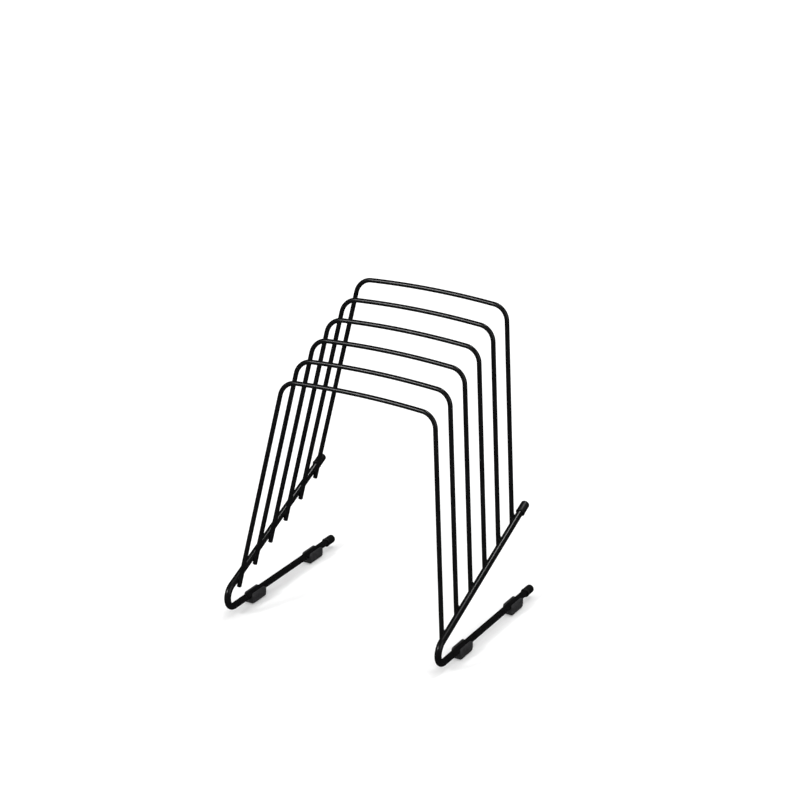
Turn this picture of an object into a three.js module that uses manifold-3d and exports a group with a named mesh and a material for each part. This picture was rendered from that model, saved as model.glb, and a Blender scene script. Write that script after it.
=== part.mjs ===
// Inclined wire step file: a small desktop rack that holds file folders upright in stepped slots.
// Millimetres. X runs across the rack, Y from its front to its back and Z up. The desk is at Z = 0.
// While it is built, Y = 0 is the foremost point of the side rails' centrelines; the last lines
// move the rack so that the origin is at the middle of its footprint.
import * as THREE from 'three';
import { mergeVertices } from 'three/addons/utils/BufferGeometryUtils.js';
import Module from 'manifold-3d';

const wasm = await Module();
wasm.setup();

// Wire
const railDiameter = 5.2;
const dividerDiameter = 3.6;
const wireSides = 12;
const weldGap = 0.3;

// Side rails: one wire each, bent to a lying V
const railHalfSpan = 88;
const baseHeight = 6.3;
const inclineAngle = THREE.MathUtils.degToRad(24);
const railBendRadius = 9.6;
const railBendSteps = 14;
const baseRunEnd = 158.5;
const inclineTail = 16.5;

// Dividers: inverted U arches, all alike, stepping up the incline
const dividerCount = 6;
const dividerPitch = 24.5;
const firstDividerAfterBend = 6.8;
const dividerLean = THREE.MathUtils.degToRad(6.4);
const legTipBelowRail = 5.5;
const weldSink = 0.7;
const shoulderHeight = 157.9;
const shoulderHalfWidth = 61.9;
const shoulderRadius = 12.7;
const shoulderSteps = 7;
const crownAngle = THREE.MathUtils.degToRad(4.1);
const crownRadius = 715;
const crownSteps = 8;

// Feet: moulded pads that snap over the base run from below
const footWidth = 9;
const footLength = 19.5;
const footLipHeight = 1.8;
const footCornerRadius = 1.5;
const footShoulderRadius = 2.6;
const footCentres = { front: 40.2, rear: 128 };

// End caps: dipped vinyl sleeves over the four open wire ends
const capLength = 11.1;
const capDiameter = 6.8;
const capRimDiameter = 7.2;
const capRimLength = 1;
const capDome = 1.8;
const capEndWall = 1.2;
const capRimTaper = 0.4;

const fitGap = 0.3;
const railRadius = railDiameter / 2;
const dividerRadius = dividerDiameter / 2;
const sleeveRadius = railRadius + fitGap;

const coatedSteel = new THREE.MeshStandardMaterial({ color: 0x141414, roughness: 0.4, metalness: 0.1 });
const rubber = new THREE.MeshStandardMaterial({ color: 0x2b2b2d, roughness: 0.85, metalness: 0 });
const vinyl = new THREE.MeshStandardMaterial({ color: 0x101011, roughness: 0.55, metalness: 0 });

// A wire's centreline, known at its stations: the ends of each straight and points along each bend.
class WirePath extends THREE.Curve {
  constructor(stations) {
    super();
    this.stations = stations;
    this.steps = stations.length - 1;
  }

  station(u) {
    return this.stations[Math.round(u * this.steps)];
  }

  getPointAt(u, target = new THREE.Vector3()) {
    return target.copy(this.station(u).point);
  }

  getTangentAt(u, target = new THREE.Vector3()) {
    return target.copy(this.station(u).tangent);
  }
}

// Straight runs between the corners, with each inner corner rounded to its radius.
function bentWire(corners) {
  const direction = (i) => corners[i + 1].at.clone().sub(corners[i].at).normalize();
  const last = corners.length - 1;
  const stations = [{ point: corners[0].at, tangent: direction(0) }];
  for (let i = 1; i < last; i += 1) {
    const into = direction(i - 1);
    const out = direction(i);
    const turn = into.angleTo(out);
    const inward = out.clone().addScaledVector(into, -Math.cos(turn)).normalize();
    const { at, radius, steps } = corners[i];
    const start = at.clone().addScaledVector(into, -radius * Math.tan(turn / 2));
    for (let k = 0; k <= steps; k += 1) {
      const angle = (turn * k) / steps;
      stations.push({
        point: start.clone()
          .addScaledVector(into, radius * Math.sin(angle))
          .addScaledVector(inward, radius * (1 - Math.cos(angle))),
        tangent: into.clone().multiplyScalar(Math.cos(angle)).addScaledVector(inward, Math.sin(angle)),
      });
    }
  }
  stations.push({ point: corners[last].at, tangent: direction(last - 1) });
  return new WirePath(stations);
}

function wireGeometry(path, radius) {
  const section = new THREE.Shape().absarc(0, 0, radius, 0, 2 * Math.PI, false);
  return new THREE.ExtrudeGeometry(section, {
    extrudePath: path,
    steps: path.steps,
    curveSegments: wireSides / 2,
  });
}

function toSolid(geometry) {
  const bare = geometry.clone();
  bare.deleteAttribute('normal');
  bare.deleteAttribute('uv');
  const merged = mergeVertices(bare, 1e-4);
  return new wasm.Manifold(new wasm.Mesh({
    numProp: 3,
    vertProperties: new Float32Array(merged.getAttribute('position').array),
    triVerts: new Uint32Array(merged.getIndex().array),
  }));
}

function toGeometry(solid) {
  const mesh = solid.getMesh();
  const geometry = new THREE.BufferGeometry();
  geometry.setAttribute('position', new THREE.BufferAttribute(mesh.vertProperties, 3));
  geometry.setIndex(new THREE.BufferAttribute(mesh.triVerts, 1));
  return geometry;
}

function namedMesh(name, geometry, material) {
  const mesh = new THREE.Mesh(geometry, material);
  mesh.name = name;
  return mesh;
}

// The rail's base run and its incline, if produced, meet at an apex in front of the bend.
const apexToBendEnd = railBendRadius / Math.tan(inclineAngle / 2);
const apexY = railBendRadius - apexToBendEnd;
const alongIncline = (distance) => new THREE.Vector3(
  0,
  apexY + distance * Math.cos(inclineAngle),
  baseHeight + distance * Math.sin(inclineAngle),
);
const dividerStation = (index) => apexToBendEnd + firstDividerAfterBend + index * dividerPitch;
const inclineRunEnd = dividerStation(dividerCount - 1) + inclineTail;

function railGeometry() {
  const path = bentWire([
    { at: new THREE.Vector3(0, baseRunEnd, baseHeight) },
    { at: new THREE.Vector3(0, apexY, baseHeight), radius: railBendRadius, steps: railBendSteps },
    { at: alongIncline(inclineRunEnd) },
  ]);
  return wireGeometry(path, railRadius);
}

// The arch lies in its own XZ plane, with Z = 0 where its legs cross the rails' centrelines. Each
// leg runs down the inner side of its rail. The weld presses the two wires into each other, so the
// leg has a saddle there that fits round the rail.
function dividerGeometry() {
  const weldHalfWidth = railHalfSpan - railRadius - dividerRadius + weldSink;
  const legSplay = (weldHalfWidth - shoulderHalfWidth) / shoulderHeight;
  const tipHalfWidth = weldHalfWidth + legSplay * legTipBelowRail;
  const peakHeight = shoulderHeight + shoulderHalfWidth * Math.tan(crownAngle);
  const tip = (side) => ({ at: new THREE.Vector3(side * tipHalfWidth, 0, -legTipBelowRail) });
  const shoulder = (side) => ({
    at: new THREE.Vector3(side * shoulderHalfWidth, 0, shoulderHeight),
    radius: shoulderRadius,
    steps: shoulderSteps,
  });
  const crown = { at: new THREE.Vector3(0, 0, peakHeight), radius: crownRadius, steps: crownSteps };
  const path = bentWire([tip(-1), shoulder(-1), crown, shoulder(1), tip(1)]);
  const arch = toSolid(wireGeometry(path, dividerRadius));
  return toGeometry(arch.subtract(saddleTool(-1)).subtract(saddleTool(1)));
}

// A length of the rail, fatter by the gap that the saddle keeps, as it lies across the arch.
function saddleTool(side) {
  const radius = railRadius + weldGap;
  const length = 5 * railDiameter;
  const rail = new THREE.CylinderGeometry(radius, radius, length, 2 * wireSides);
  rail.rotateX(inclineAngle + dividerLean);
  rail.translate(side * railHalfSpan, 0, 0);
  return toSolid(rail);
}

// Cross-section in X and Z: a block with a round channel for the wire, open at the top between
// two lips that reach past the wire's middle and hold the foot on.
function footSection() {
  const half = footWidth / 2;
  const top = baseHeight + footLipHeight;
  const r = footCornerRadius;
  const lipAngle = Math.asin(footLipHeight / sleeveRadius);
  const lipRound = 0.8;
  const section = new THREE.Shape();
  section.moveTo(-half + r, 0);
  section.lineTo(half - r, 0);
  section.absarc(half - r, r, r, -Math.PI / 2, 0, false);
  section.lineTo(half, top - lipRound);
  section.absarc(half - lipRound, top - lipRound, lipRound, 0, Math.PI / 2, false);
  section.absarc(0, baseHeight, sleeveRadius, lipAngle, Math.PI - lipAngle, true);
  section.absarc(-half + lipRound, top - lipRound, lipRound, Math.PI / 2, Math.PI, false);
  section.lineTo(-half, r);
  section.absarc(-half + r, r, r, Math.PI, 1.5 * Math.PI, false);
  return section;
}

// Side outline in Y and Z: flat underneath, with rounded corners, more at the top.
function footSideOutline() {
  const half = footLength / 2;
  const top = baseHeight + footLipHeight;
  const low = footCornerRadius;
  const high = footShoulderRadius;
  const outline = new THREE.Shape();
  outline.moveTo(-half + low, 0);
  outline.lineTo(half - low, 0);
  outline.absarc(half - low, low, low, -Math.PI / 2, 0, false);
  outline.lineTo(half, top - high);
  outline.absarc(half - high, top - high, high, 0, Math.PI / 2, false);
  outline.lineTo(-half + high, top);
  outline.absarc(-half + high, top - high, high, Math.PI / 2, Math.PI, false);
  outline.lineTo(-half, low);
  outline.absarc(-half + low, low, low, Math.PI, 1.5 * Math.PI, false);
  return outline;
}

// Both outlines are drawn with their second axis up and extruded level; the foot is what they share.
function footGeometry() {
  const clearance = 2;
  const across = footWidth + 2 * clearance;
  const lengthwise = new THREE.ExtrudeGeometry(footSection(), {
    depth: footLength + 2 * clearance,
    bevelEnabled: false,
    curveSegments: 4,
  });
  lengthwise.translate(0, 0, -footLength / 2 - clearance);
  lengthwise.rotateX(Math.PI / 2);
  const crosswise = new THREE.ExtrudeGeometry(footSideOutline(), {
    depth: across,
    bevelEnabled: false,
    curveSegments: 2,
  });
  crosswise.translate(0, 0, -across / 2);
  crosswise.rotateX(Math.PI / 2);
  crosswise.rotateZ(Math.PI / 2);
  return toGeometry(toSolid(lengthwise).intersect(toSolid(crosswise)));
}

// Turned about Y, with the open rim at Y = 0 and the domed end at Y = capLength.
function capGeometry() {
  const outer = capDiameter / 2;
  const rim = capRimDiameter / 2;
  const domeSteps = 4;
  const floor = capLength - capEndWall;
  const profile = [
    new THREE.Vector2(0, floor),
    new THREE.Vector2(sleeveRadius, floor),
    new THREE.Vector2(sleeveRadius, 0),
    new THREE.Vector2(rim, 0),
    new THREE.Vector2(rim, capRimLength),
    new THREE.Vector2(outer, capRimLength + capRimTaper),
  ];
  for (let k = 0; k < domeSteps; k += 1) {
    const angle = (Math.PI / 2) * (k / domeSteps);
    const radius = outer - capDome + capDome * Math.cos(angle);
    profile.push(new THREE.Vector2(radius, capLength - capDome + capDome * Math.sin(angle)));
  }
  profile.push(new THREE.Vector2(outer - capDome, capLength));
  profile.push(new THREE.Vector2(0, capLength));
  return new THREE.LatheGeometry(profile, wireSides);
}

// One rail with everything pushed on to it. Each piece is symmetric about the rail's own plane,
// so the two sides differ only in where they stand.
function sideFrame(sideName, side) {
  const frame = new THREE.Group();
  frame.position.x = side * railHalfSpan;
  frame.add(namedMesh(`${sideName}_side_rail`, railGeometry(), coatedSteel));

  for (const [place, centre] of Object.entries(footCentres)) {
    const foot = namedMesh(`foot_${sideName}_${place}`, footGeometry(), rubber);
    foot.position.y = centre;
    frame.add(foot);
  }

  const overlap = capLength - capEndWall - fitGap;
  const baseCap = namedMesh(`base_cap_${sideName}`, capGeometry(), vinyl);
  baseCap.position.set(0, baseRunEnd - overlap, baseHeight);
  frame.add(baseCap);

  const inclineCap = namedMesh(`incline_cap_${sideName}`, capGeometry(), vinyl);
  inclineCap.position.copy(alongIncline(inclineRunEnd - overlap));
  inclineCap.rotation.x = inclineAngle;
  frame.add(inclineCap);
  return frame;
}

const rack = new THREE.Group();
rack.add(sideFrame('left', -1));
rack.add(sideFrame('right', 1));
for (let index = 0; index < dividerCount; index += 1) {
  const divider = namedMesh(`divider_${index + 1}`, dividerGeometry(), coatedSteel);
  divider.position.copy(alongIncline(dividerStation(index)));
  divider.rotation.x = -dividerLean;
  rack.add(divider);
}

const extent = new THREE.Box3().setFromObject(rack, true);
rack.position.y = -(extent.min.y + extent.max.y) / 2;

export default rack;
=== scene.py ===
"""Inclined wire step file: the finished look of the rack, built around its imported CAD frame.

Metres. X runs across the rack, Y from its front to its back and Z up. The desk is at Z = 0.
Shapes are given by the driving dimensions below. Places come from the frame: each piece is built
around its own origin and then moved so that its box is centred on the box of its CAD node.
"""

import math

import bpy
from mathutils import Matrix, Vector


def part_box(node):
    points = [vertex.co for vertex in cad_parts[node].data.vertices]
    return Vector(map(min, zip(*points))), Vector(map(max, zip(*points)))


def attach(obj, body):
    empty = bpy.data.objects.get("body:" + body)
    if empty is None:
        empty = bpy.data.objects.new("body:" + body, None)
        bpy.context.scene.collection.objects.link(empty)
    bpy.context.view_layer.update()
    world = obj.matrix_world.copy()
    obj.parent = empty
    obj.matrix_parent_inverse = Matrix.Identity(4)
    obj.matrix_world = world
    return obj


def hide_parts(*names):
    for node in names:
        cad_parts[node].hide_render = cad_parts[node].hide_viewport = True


MM = 0.001
SIDES = {"left": -1, "right": 1}
PLACES = ("front", "rear")

# Wires
RAIL_RADIUS = 2.6 * MM
DIVIDER_RADIUS = 1.8 * MM
WIRE_SEGMENTS = 36
CUT_ROUNDING = 0.55 * MM
CUT_STEPS = 6
INCLINE_ANGLE = math.radians(24)
RAIL_BEND_RADIUS = 9.6 * MM
RAIL_BEND_FLATTENING = 0.03
RAIL_BEND_STEPS = 40

# Dividers
DIVIDER_COUNT = 6
DIVIDER_LEAN = math.radians(6.4)
LEG_TIP_BELOW_RAIL = 5.5 * MM
LEG_TO_RAIL = 3.7 * MM
SHOULDER_HEIGHT = 157.9 * MM
SHOULDER_HALF_WIDTH = 61.9 * MM
SHOULDER_RADIUS = 12.7 * MM
SHOULDER_STEPS = 20
CROWN_ANGLE = math.radians(4.1)
CROWN_RADIUS = 715 * MM
CROWN_STEPS = 16

# Welds
WELD_GAP_LIMIT = 1.0 * MM
WELD_WAIST = 0.22
WELD_SINK = 0.12 * MM
WELD_TURNS = 40
WELD_LEVELS = 8
WELD_LOBES = ((3, 1, 0.05), (5, -1, 0.03))  # lobes round the outline, sense of the shift, height
WELD_SHIFT_PER_DIVIDER = 1.7
WELD_SHIFT_ON_THE_RIGHT = 0.9

# Feet
FOOT_WALL_CROWN = 0.12 * MM
FOOT_CORNER_RADIUS = 1.5 * MM
FOOT_SHOULDER_RADIUS = 2.6 * MM
FOOT_END_RADIUS = 1.3 * MM
FOOT_LIP_ROUNDING = 0.8 * MM
FOOT_MOUTH_ROUNDING = 0.3 * MM
FOOT_CORNER_STEPS = 6
FOOT_WALL_STEPS = 6
FOOT_MOUTH_STEPS = 4
FOOT_CHANNEL_STEPS = 28
FOOT_END_STEPS = 12
SNUG = 0.04 * MM

# End caps
CAP_SEGMENTS = 48
CAP_DIAMETER = 6.8 * MM
CAP_RIM_DIAMETER = 7.2 * MM
CAP_RIM_LENGTH = 1.4 * MM
CAP_DOME = 1.8 * MM
CAP_LENGTH = 11.1 * MM
CAP_RIM_STEPS = 14
CAP_BLEND_STEPS = 6
CAP_DOME_STEPS = 10
CAP_DOME_END = 80

# Coats: two colours that the surface drifts between, the range of its roughness, and its gloss
COAT_COLOURS = (0.0032, 0.0032, 0.0034), (0.0050, 0.0050, 0.0053)
COAT_ROUGHNESS = 0.2, 0.28
COAT_GLOSS = 0.38
RUBBER_COLOURS = (0.017, 0.017, 0.018), (0.026, 0.026, 0.028)
RUBBER_ROUGHNESS = 0.62, 0.8
RUBBER_GLOSS = 0.4
VINYL_COLOURS = (0.0035, 0.0035, 0.0037), (0.0055, 0.0055, 0.0058)
VINYL_ROUGHNESS = 0.36, 0.48
VINYL_GLOSS = 0.42
NOISE_RANGE = 0.3, 0.7
RAMP_ENDS = 0.35, 0.65

# Light
FLOOR_HALF_SIZE = 12
FLOOR_WHITE = 0.95
SKY_LIGHT = 0.88
SKY_TO_THE_CAMERA = 1.0
SKY_IN_REFLECTIONS = 0.02
SOFTBOXES = (  # name, azimuth, elevation and angular size in degrees, strength
    ("key_softbox", -28, 28, 10, 1.15),
    ("top_softbox", 165, 71, 12, 0.62),
    ("right_softbox", 75, 30, 50, 0.5),
)

# Camera
CAMERA_AIM = Vector((0.0089, 0.0, 0.1697))
CAMERA_DISTANCE = 1.6604
CAMERA_AZIMUTH = math.radians(26.82)
CAMERA_ELEVATION = math.radians(20.04)
CAMERA_ROLL = math.radians(2.5)
CAMERA_LENS = 101.83
CAMERA_SIGHT = 50

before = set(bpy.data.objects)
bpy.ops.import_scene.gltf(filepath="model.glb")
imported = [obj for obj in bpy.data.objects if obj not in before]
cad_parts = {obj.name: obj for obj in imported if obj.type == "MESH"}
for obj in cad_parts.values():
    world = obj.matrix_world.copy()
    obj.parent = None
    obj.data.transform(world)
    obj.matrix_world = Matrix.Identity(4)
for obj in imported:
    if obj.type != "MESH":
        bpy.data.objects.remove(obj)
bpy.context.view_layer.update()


# ---------------------------------------------------------------- camera, floor and light

def place_camera():
    camera = bpy.data.objects.new("camera", bpy.data.cameras.new("camera"))
    bpy.context.scene.collection.objects.link(camera)
    camera.data.lens = CAMERA_LENS
    camera.data.clip_end = CAMERA_SIGHT
    forward = Vector((
        -math.sin(CAMERA_AZIMUTH) * math.cos(CAMERA_ELEVATION),
        math.cos(CAMERA_AZIMUTH) * math.cos(CAMERA_ELEVATION),
        -math.sin(CAMERA_ELEVATION),
    ))
    level = Vector((math.cos(CAMERA_AZIMUTH), math.sin(CAMERA_AZIMUTH), 0))
    upright = level.cross(forward)
    right = level * math.cos(CAMERA_ROLL) + upright * math.sin(CAMERA_ROLL)
    up = right.cross(forward)
    place = Matrix((right, up, -forward)).transposed().to_4x4()
    place.translation = CAMERA_AIM - forward * CAMERA_DISTANCE
    camera.matrix_world = place
    bpy.context.scene.camera = camera


def place_floor():
    size = FLOOR_HALF_SIZE
    mesh = bpy.data.meshes.new("floor")
    corners = [(-size, -size, 0), (size, -size, 0), (size, size, 0), (-size, size, 0)]
    mesh.from_pydata(corners, [], [(0, 1, 2, 3)])
    floor = bpy.data.objects.new("floor", mesh)
    bpy.context.scene.collection.objects.link(floor)
    material = bpy.data.materials.new("floor_paper")
    material.use_nodes = True
    shader = material.node_tree.nodes["Principled BSDF"]
    shader.inputs["Base Color"].default_value = (FLOOR_WHITE, FLOOR_WHITE, FLOOR_WHITE, 1)
    shader.inputs["Roughness"].default_value = 1.0
    shader.inputs["Specular IOR Level"].default_value = 0.0
    mesh.materials.append(material)
    floor.visible_glossy = False


def distant_softbox(name, azimuth, elevation, angle, strength):
    """Soft light of one direction, as strong on the whole floor. Azimuth 0 is the rack's front."""
    azimuth, elevation = math.radians(azimuth), math.radians(elevation)
    outward = Vector((
        math.sin(azimuth) * math.cos(elevation),
        -math.cos(azimuth) * math.cos(elevation),
        math.sin(elevation),
    ))
    light = bpy.data.lights.new(name, "SUN")
    light.angle = math.radians(angle)
    light.energy = strength
    lamp = bpy.data.objects.new(name, light)
    bpy.context.scene.collection.objects.link(lamp)
    lamp.rotation_euler = outward.to_track_quat("Z", "Y").to_euler()


def light_scene():
    """White surroundings to the eye, almost black ones in reflections, and three softboxes."""
    scene = bpy.context.scene
    scene.view_settings.view_transform = "Standard"
    world = bpy.data.worlds.new("studio")
    scene.world = world
    world.use_nodes = True
    nodes, links = world.node_tree.nodes, world.node_tree.links
    background = nodes["Background"]
    background.inputs["Color"].default_value = (1, 1, 1, 1)
    path = nodes.new("ShaderNodeLightPath")
    seen = nodes.new("ShaderNodeMapRange")
    seen.inputs["To Min"].default_value = SKY_LIGHT
    seen.inputs["To Max"].default_value = SKY_TO_THE_CAMERA
    links.new(path.outputs["Is Camera Ray"], seen.inputs["Value"])
    mirrored = nodes.new("ShaderNodeMapRange")
    mirrored.inputs["To Max"].default_value = SKY_IN_REFLECTIONS
    links.new(path.outputs["Is Glossy Ray"], mirrored.inputs["Value"])
    links.new(seen.outputs["Result"], mirrored.inputs["To Min"])
    links.new(mirrored.outputs["Result"], background.inputs["Strength"])
    for name, *settings in SOFTBOXES:
        distant_softbox(name, *settings)


# ---------------------------------------------------------------- mesh helpers

def add_piece(name, vertices, faces, material):
    mesh = bpy.data.meshes.new(name)
    mesh.from_pydata(vertices, [], faces)
    mesh.validate()
    mesh.polygons.foreach_set("use_smooth", [True] * len(mesh.polygons))
    mesh.materials.append(material)
    piece = bpy.data.objects.new(name, mesh)
    bpy.context.scene.collection.objects.link(piece)
    return piece


def loft(rings):
    """Vertices and faces of a closed body through rings of equal length, with a fan on each end."""
    count = len(rings[0])
    vertices = [Vector(p) for ring in rings for p in ring]
    faces = []
    for k in range(len(rings) - 1):
        for i in range(count):
            j = (i + 1) % count
            faces.append((k * count + i, k * count + j, (k + 1) * count + j, (k + 1) * count + i))
    for ring, first, order in ((rings[0], 0, -1), (rings[-1], (len(rings) - 1) * count, 1)):
        hub = len(vertices)
        vertices.append(sum((Vector(p) for p in ring), Vector()) / count)
        for i in range(count):
            j = (i + 1) % count
            faces.append((hub, first + i, first + j)[::order])
    return vertices, faces


def box_centre(points):
    low = Vector([min(p[axis] for p in points) for axis in range(3)])
    high = Vector([max(p[axis] for p in points) for axis in range(3)])
    return (low + high) / 2


def seat(piece, node):
    """Moves the piece on to its CAD node and hands it over to the frame. Returns the move."""
    low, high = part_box(node)
    move = (low + high) / 2 - box_centre([v.co for v in piece.data.vertices])
    piece.data.transform(Matrix.Translation(move))
    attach(piece, "root")
    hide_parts(node)
    return move


# ---------------------------------------------------------------- bent wires

def bent_path(corners):
    """Stations along a wire. A corner is (point, bend radius, steps), and the two ends have no bend."""
    points = [corner[0] for corner in corners]
    headings = [(b - a).normalized() for a, b in zip(points, points[1:])]
    stations = [(points[0], headings[0], 0.0)]
    for (point, radius, steps), into, out in zip(corners[1:-1], headings, headings[1:]):
        turn = into.angle(out)
        inward = (out - into * math.cos(turn)).normalized()
        start = point - into * (radius * math.tan(turn / 2))
        for k in range(steps + 1):
            angle = turn * k / steps
            place = start + into * (radius * math.sin(angle)) + inward * (radius * (1 - math.cos(angle)))
            heading = into * math.cos(angle) + inward * math.sin(angle)
            stations.append((place, heading, math.sin(math.pi * k / steps)))
    stations.append((points[-1], headings[-1], 0.0))
    return stations


def wire_rings(stations, radius, plane_normal, flattening=0.0):
    """Round sections along a flat path, with the coated cut ends rounded over."""
    profile = [math.radians(90 * k / CUT_STEPS) for k in range(CUT_STEPS)]
    (first, first_heading, _), (last, last_heading, _) = stations[0], stations[-1]
    sections = []
    for angle in profile:
        place = first + first_heading * (CUT_ROUNDING - CUT_ROUNDING * math.cos(angle))
        sections.append((place, first_heading, 0.0, radius - CUT_ROUNDING + CUT_ROUNDING * math.sin(angle)))
    sections.append((first + first_heading * CUT_ROUNDING, first_heading, 0.0, radius))
    sections += [(place, heading, bend, radius) for place, heading, bend in stations[1:-1]]
    sections.append((last - last_heading * CUT_ROUNDING, last_heading, 0.0, radius))
    for angle in reversed(profile):
        place = last - last_heading * (CUT_ROUNDING - CUT_ROUNDING * math.cos(angle))
        sections.append((place, last_heading, 0.0, radius - CUT_ROUNDING + CUT_ROUNDING * math.sin(angle)))
    rings = []
    for place, heading, bend, size in sections:
        across = heading.cross(plane_normal)
        squash = 1 - flattening * bend
        spread = 1 + flattening * bend / 2
        ring = []
        for k in range(WIRE_SEGMENTS):
            angle = 2 * math.pi * k / WIRE_SEGMENTS
            ring.append(place + plane_normal * (size * spread * math.cos(angle))
                        + across * (size * squash * math.sin(angle)))
        rings.append(ring)
    return rings


def build_rail(side_name, material):
    """A base run, a bend of almost a half turn, and an incline, all in the plane of the side."""
    node = f"{side_name}_side_rail"
    low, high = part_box(node)
    base_height = low.z + RAIL_RADIUS
    bend_length = RAIL_BEND_RADIUS / math.tan(INCLINE_ANGLE / 2)
    apex = Vector((0, low.y + RAIL_RADIUS + RAIL_BEND_RADIUS - bend_length, base_height))
    rise = high.z - RAIL_RADIUS * math.cos(INCLINE_ANGLE) - base_height
    incline = Vector((0, math.cos(INCLINE_ANGLE), math.sin(INCLINE_ANGLE)))
    stations = bent_path([
        (Vector((0, high.y, base_height)), 0, 0),
        (apex, RAIL_BEND_RADIUS, RAIL_BEND_STEPS),
        (apex + incline * (rise / math.sin(INCLINE_ANGLE)), 0, 0),
    ])
    rings = wire_rings(stations, RAIL_RADIUS, Vector((1, 0, 0)), RAIL_BEND_FLATTENING)
    rail = add_piece(f"{node}_wire", *loft(rings), material)
    seat(rail, node)


def leg_splay():
    """How far a leg leans in along X for each unit of its height."""
    return (rail_centre_x("right") - LEG_TO_RAIL - SHOULDER_HALF_WIDTH) / SHOULDER_HEIGHT


def rail_centre_x(side_name):
    low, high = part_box(f"{side_name}_side_rail")
    return (low.x + high.x) / 2


def build_divider(number, material):
    """An inverted U on its own leaning plane. Returns the point midway between its two welds."""
    node = f"divider_{number}"
    upward = Vector((0, math.sin(DIVIDER_LEAN), math.cos(DIVIDER_LEAN)))

    def on_plane(x, height):
        return Vector((x, 0, 0)) + upward * height

    tip_half_width = SHOULDER_HALF_WIDTH + leg_splay() * (SHOULDER_HEIGHT + LEG_TIP_BELOW_RAIL)
    peak = SHOULDER_HEIGHT + SHOULDER_HALF_WIDTH * math.tan(CROWN_ANGLE)
    stations = bent_path([
        (on_plane(-tip_half_width, -LEG_TIP_BELOW_RAIL), 0, 0),
        (on_plane(-SHOULDER_HALF_WIDTH, SHOULDER_HEIGHT), SHOULDER_RADIUS, SHOULDER_STEPS),
        (on_plane(0, peak), CROWN_RADIUS, CROWN_STEPS),
        (on_plane(SHOULDER_HALF_WIDTH, SHOULDER_HEIGHT), SHOULDER_RADIUS, SHOULDER_STEPS),
        (on_plane(tip_half_width, -LEG_TIP_BELOW_RAIL), 0, 0),
    ])
    plane_normal = Vector((1, 0, 0)).cross(upward)
    rings = wire_rings(stations, DIVIDER_RADIUS, plane_normal)
    divider = add_piece(f"{node}_wire", *loft(rings), material)
    return seat(divider, node)


# ---------------------------------------------------------------- welds

def build_weld(number, side_name, crossing, material):
    """The nugget between a leg and its rail: it fills the crevice out to where it opens too wide.

    In the plane of the side, a point is named by its turn and reach from the crossing. The nugget
    is waisted halfway between the two wires, and its outline is a little uneven, as welds are.
    """
    side = SIDES[side_name]
    rail_x = side * rail_centre_x(side_name)
    leg_x = rail_x - LEG_TO_RAIL
    along_rail = Vector((0, math.cos(INCLINE_ANGLE), math.sin(INCLINE_ANGLE)))
    along_leg = Vector((0, math.sin(DIVIDER_LEAN), math.cos(DIVIDER_LEAN)))

    def surfaces(spot):
        """The X of the rail's inner surface and of the leg's outer surface, over that spot."""
        from_rail = min(along_rail.cross(spot).length, RAIL_RADIUS)
        from_leg = min(along_leg.cross(spot).length, DIVIDER_RADIUS)
        rail_surface = rail_x - math.sqrt(RAIL_RADIUS ** 2 - from_rail ** 2)
        leg_surface = leg_x + math.sqrt(DIVIDER_RADIUS ** 2 - from_leg ** 2)
        return rail_surface, leg_surface

    def reach(direction):
        near, far = 0.0, 2 * RAIL_RADIUS
        for _ in range(30):
            middle = (near + far) / 2
            rail_surface, leg_surface = surfaces(direction * middle)
            if rail_surface - leg_surface < WELD_GAP_LIMIT:
                near = middle
            else:
                far = middle
        return near

    shift = WELD_SHIFT_PER_DIVIDER * number + (WELD_SHIFT_ON_THE_RIGHT if side > 0 else 0.0)
    outline = []
    for i in range(WELD_TURNS):
        angle = 2 * math.pi * i / WELD_TURNS
        direction = Vector((0, math.cos(angle), math.sin(angle)))
        wobble = 1
        for lobes, sense, height in WELD_LOBES:
            wobble += height * math.sin(lobes * angle + sense * shift)
        outline.append(direction * (reach(direction) * wobble))
    rings = []
    for level in range(WELD_LEVELS + 1):
        share = level / WELD_LEVELS
        waist = 1 - WELD_WAIST * math.sin(math.pi * share)
        ring = []
        for spot in outline:
            rail_surface, leg_surface = surfaces(spot * waist)
            outer, inner = rail_surface + WELD_SINK, leg_surface - WELD_SINK
            x = outer + (inner - outer) * share
            ring.append(Vector((side * x, crossing.y + spot.y * waist, crossing.z + spot.z * waist)))
        rings.append(ring if side < 0 else ring[::-1])
    weld = add_piece(f"weld_{number}_{side_name}", *loft(rings), material)
    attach(weld, "root")


# ---------------------------------------------------------------- feet

def arc(centre, radius, start, end, steps):
    """Points (x, z) along an arc, from one angle to the other in degrees, both included."""
    points = []
    for k in range(steps + 1):
        angle = math.radians(start + (end - start) * k / steps)
        points.append((centre[0] + radius * math.cos(angle), centre[1] + radius * math.sin(angle)))
    return points


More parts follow.
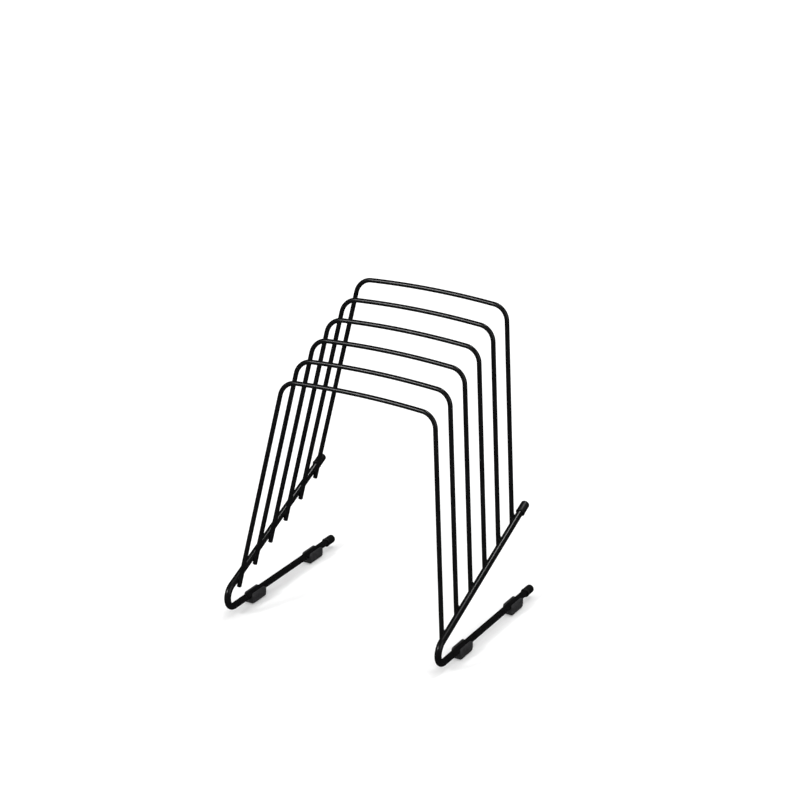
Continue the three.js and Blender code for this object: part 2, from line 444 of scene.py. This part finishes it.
def foot_outline(half, bottom, top, wire_height):
    """One cross-section: a block with rounded corners and a round channel that opens upward."""
    channel = RAIL_RADIUS + SNUG
    corner = min(FOOT_CORNER_RADIUS, (top - bottom) / 3)
    lip = min(FOOT_LIP_ROUNDING, (half - channel) / 2 + 0.1 * MM)
    mouth_angle = math.degrees(math.asin((top - FOOT_MOUTH_ROUNDING - wire_height) / channel))
    mouth_x = channel * math.cos(math.radians(mouth_angle))
    right = arc((half - corner, bottom + corner), corner, -90, 0, FOOT_CORNER_STEPS)
    wall_low, wall_high = bottom + corner, top - lip
    for k in range(1, FOOT_WALL_STEPS):
        share = k / FOOT_WALL_STEPS
        bulge = FOOT_WALL_CROWN * math.sin(math.pi * share)
        right.append((half + bulge, wall_low + (wall_high - wall_low) * share))
    right += arc((half - lip, wall_high), lip, 0, 90, FOOT_CORNER_STEPS)
    mouth = (mouth_x + FOOT_MOUTH_ROUNDING, top - FOOT_MOUTH_ROUNDING)
    right += arc(mouth, FOOT_MOUTH_ROUNDING, 90, 180, FOOT_MOUTH_STEPS)
    channel_arc = arc((0, wire_height), channel, mouth_angle, -180 - mouth_angle, FOOT_CHANNEL_STEPS)
    left = [(-x, z) for x, z in reversed(right)]
    return right + channel_arc[1:-1] + left


def rounded_off(distance, radius):
    """How far a rounded corner has fallen away, at a distance short of the end of the block."""
    if distance >= radius:
        return 0.0
    return radius - math.sqrt(radius ** 2 - (radius - distance) ** 2)


def build_foot(side_name, place, material):
    node = f"foot_{side_name}_{place}"
    low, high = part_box(node)
    rail_low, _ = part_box(f"{side_name}_side_rail")
    wire_height = rail_low.z + RAIL_RADIUS
    half_width = (high.x - low.x) / 2 - FOOT_WALL_CROWN
    half_length = (high.y - low.y) / 2
    distances = []
    for k in range(FOOT_END_STEPS):
        distances.append(FOOT_SHOULDER_RADIUS * (1 - math.sin(math.pi / 2 * k / FOOT_END_STEPS)))
    distances.append(0.0)
    lengths = [-half_length + d for d in reversed(distances)]
    lengths += [half_length - d for d in distances]
    rings = []
    for y in lengths:
        short = half_length - abs(y)
        section = foot_outline(
            half_width - rounded_off(short, FOOT_END_RADIUS),
            rounded_off(short, FOOT_CORNER_RADIUS),
            high.z - rounded_off(short, FOOT_SHOULDER_RADIUS),
            wire_height,
        )
        rings.append([Vector((x, y, z)) for x, z in section][::-1])
    foot = add_piece(f"{node}_pad", *loft(rings), material)
    seat(foot, node)


# ---------------------------------------------------------------- end caps

def cap_profile():
    """(radius, distance from the rim) from the bore, over the rolled rim, to the tip of the dome."""
    rim, body = CAP_RIM_DIAMETER / 2, CAP_DIAMETER / 2
    bore = RAIL_RADIUS + SNUG
    roll = (rim - bore) / 2
    profile = [(bore, 2 * CAP_RIM_LENGTH)]
    profile += [(bore + roll + r, roll + y) for r, y in arc((0, 0), roll, 180, 360, CAP_RIM_STEPS)]
    for k in range(1, CAP_BLEND_STEPS + 1):
        share = k / CAP_BLEND_STEPS
        ease = (1 - math.cos(math.pi * share)) / 2
        profile.append((rim + (body - rim) * ease, roll + CAP_RIM_LENGTH * share))
    shoulder = CAP_LENGTH - CAP_DOME
    dome = arc((0, 0), CAP_DOME, 0, CAP_DOME_END, CAP_DOME_STEPS)
    profile += [(body - CAP_DOME + r, shoulder + y) for r, y in dome]
    return profile


def build_cap(node, angle, material):
    rings = []
    for radius, along in cap_profile():
        ring = []
        for k in range(CAP_SEGMENTS):
            turn = 2 * math.pi * k / CAP_SEGMENTS
            ring.append(Vector((radius * math.cos(turn), along, radius * math.sin(turn))))
        rings.append(ring[::-1])
    vertices, faces = loft(rings)
    tilt = Matrix.Rotation(angle, 4, "X")
    cap = add_piece(f"{node}_sleeve", [tilt @ v for v in vertices], faces, material)
    seat(cap, node)


# ---------------------------------------------------------------- materials

class Surface:
    """A Principled material whose textures are laid out in the object's own metres."""

    def __init__(self, name):
        self.material = bpy.data.materials.new(name)
        self.material.use_nodes = True
        self.nodes = self.material.node_tree.nodes
        self.links = self.material.node_tree.links
        self.shader = self.nodes["Principled BSDF"]
        self.metres = self.nodes.new("ShaderNodeTexCoord").outputs["Object"]

    def noise(self, feature, detail=2.0, stretch=(1, 1, 1)):
        """Noise whose blotches are about one feature across, longer along an axis below 1."""
        mapping = self.nodes.new("ShaderNodeMapping")
        mapping.inputs["Scale"].default_value = stretch
        self.links.new(self.metres, mapping.inputs["Vector"])
        noise = self.nodes.new("ShaderNodeTexNoise")
        noise.inputs["Scale"].default_value = 1 / feature
        noise.inputs["Detail"].default_value = detail
        self.links.new(mapping.outputs["Vector"], noise.inputs["Vector"])
        return noise.outputs["Fac"]

    def between(self, value, low, high):
        """A number that follows value from low to high."""
        scale = self.nodes.new("ShaderNodeMapRange")
        scale.inputs["From Min"].default_value = NOISE_RANGE[0]
        scale.inputs["From Max"].default_value = NOISE_RANGE[1]
        scale.inputs["To Min"].default_value = low
        scale.inputs["To Max"].default_value = high
        self.links.new(value, scale.inputs["Value"])
        return scale.outputs["Result"]

    def colours(self, value, first, second):
        ramp = self.nodes.new("ShaderNodeValToRGB")
        ramp.color_ramp.elements[0].position = RAMP_ENDS[0]
        ramp.color_ramp.elements[0].color = (*first, 1)
        ramp.color_ramp.elements[1].position = RAMP_ENDS[1]
        ramp.color_ramp.elements[1].color = (*second, 1)
        self.links.new(value, ramp.inputs["Fac"])
        self.links.new(ramp.outputs["Color"], self.shader.inputs["Base Color"])

    def roughness(self, value):
        self.links.new(value, self.shader.inputs["Roughness"])

    def bumps(self, *layers):
        """Layers of (height, depth in metres), each laid over the one before."""
        normal = None
        for height, depth in layers:
            bump = self.nodes.new("ShaderNodeBump")
            bump.inputs["Strength"].default_value = 1.0
            bump.inputs["Distance"].default_value = depth
            self.links.new(height, bump.inputs["Height"])
            if normal is not None:
                self.links.new(normal, bump.inputs["Normal"])
            normal = bump.outputs["Normal"]
        self.links.new(normal, self.shader.inputs["Normal"])


def powder_coat():
    """Black powder coat: a faint orange peel, finer grit in it, and slow changes of gloss."""
    surface = Surface("black_powder_coat")
    surface.colours(surface.noise(9 * MM), *COAT_COLOURS)
    surface.roughness(surface.between(surface.noise(4 * MM, 3), *COAT_ROUGHNESS))
    surface.bumps(
        (surface.noise(0.9 * MM, 1), 0.014 * MM),
        (surface.noise(0.22 * MM, 2), 0.003 * MM),
    )
    surface.shader.inputs["Specular IOR Level"].default_value = COAT_GLOSS
    return surface.material


def moulded_rubber():
    """Charcoal rubber with a fine moulded grain and a dry, slightly uneven surface."""
    surface = Surface("charcoal_rubber")
    surface.colours(surface.noise(3 * MM, 3), *RUBBER_COLOURS)
    surface.roughness(surface.between(surface.noise(1.2 * MM, 3), *RUBBER_ROUGHNESS))
    surface.bumps(
        (surface.noise(0.35 * MM, 3), 0.02 * MM),
        (surface.noise(2.5 * MM, 1), 0.03 * MM),
    )
    surface.shader.inputs["Specular IOR Level"].default_value = RUBBER_GLOSS
    return surface.material


def dipped_vinyl():
    """Black vinyl dip: smooth, with the slow ripples of a coat that ran before it set."""
    surface = Surface("black_dipped_vinyl")
    surface.colours(surface.noise(5 * MM), *VINYL_COLOURS)
    surface.roughness(surface.between(surface.noise(2 * MM, 2), *VINYL_ROUGHNESS))
    surface.bumps(
        (surface.noise(1.6 * MM, 1, (1, 0.45, 1)), 0.05 * MM),
        (surface.noise(0.3 * MM, 2), 0.003 * MM),
    )
    surface.shader.inputs["Specular IOR Level"].default_value = VINYL_GLOSS
    return surface.material


# ---------------------------------------------------------------- the rack

place_camera()
place_floor()
light_scene()

coat = powder_coat()
rubber = moulded_rubber()
vinyl = dipped_vinyl()

for side_name in SIDES:
    build_rail(side_name, coat)
    for place in PLACES:
        build_foot(side_name, place, rubber)
    build_cap(f"base_cap_{side_name}", 0, vinyl)
    build_cap(f"incline_cap_{side_name}", INCLINE_ANGLE, vinyl)

for number in range(1, DIVIDER_COUNT + 1):
    crossing = build_divider(number, coat)
    for side_name in SIDES:
        build_weld(number, side_name, crossing, coat)
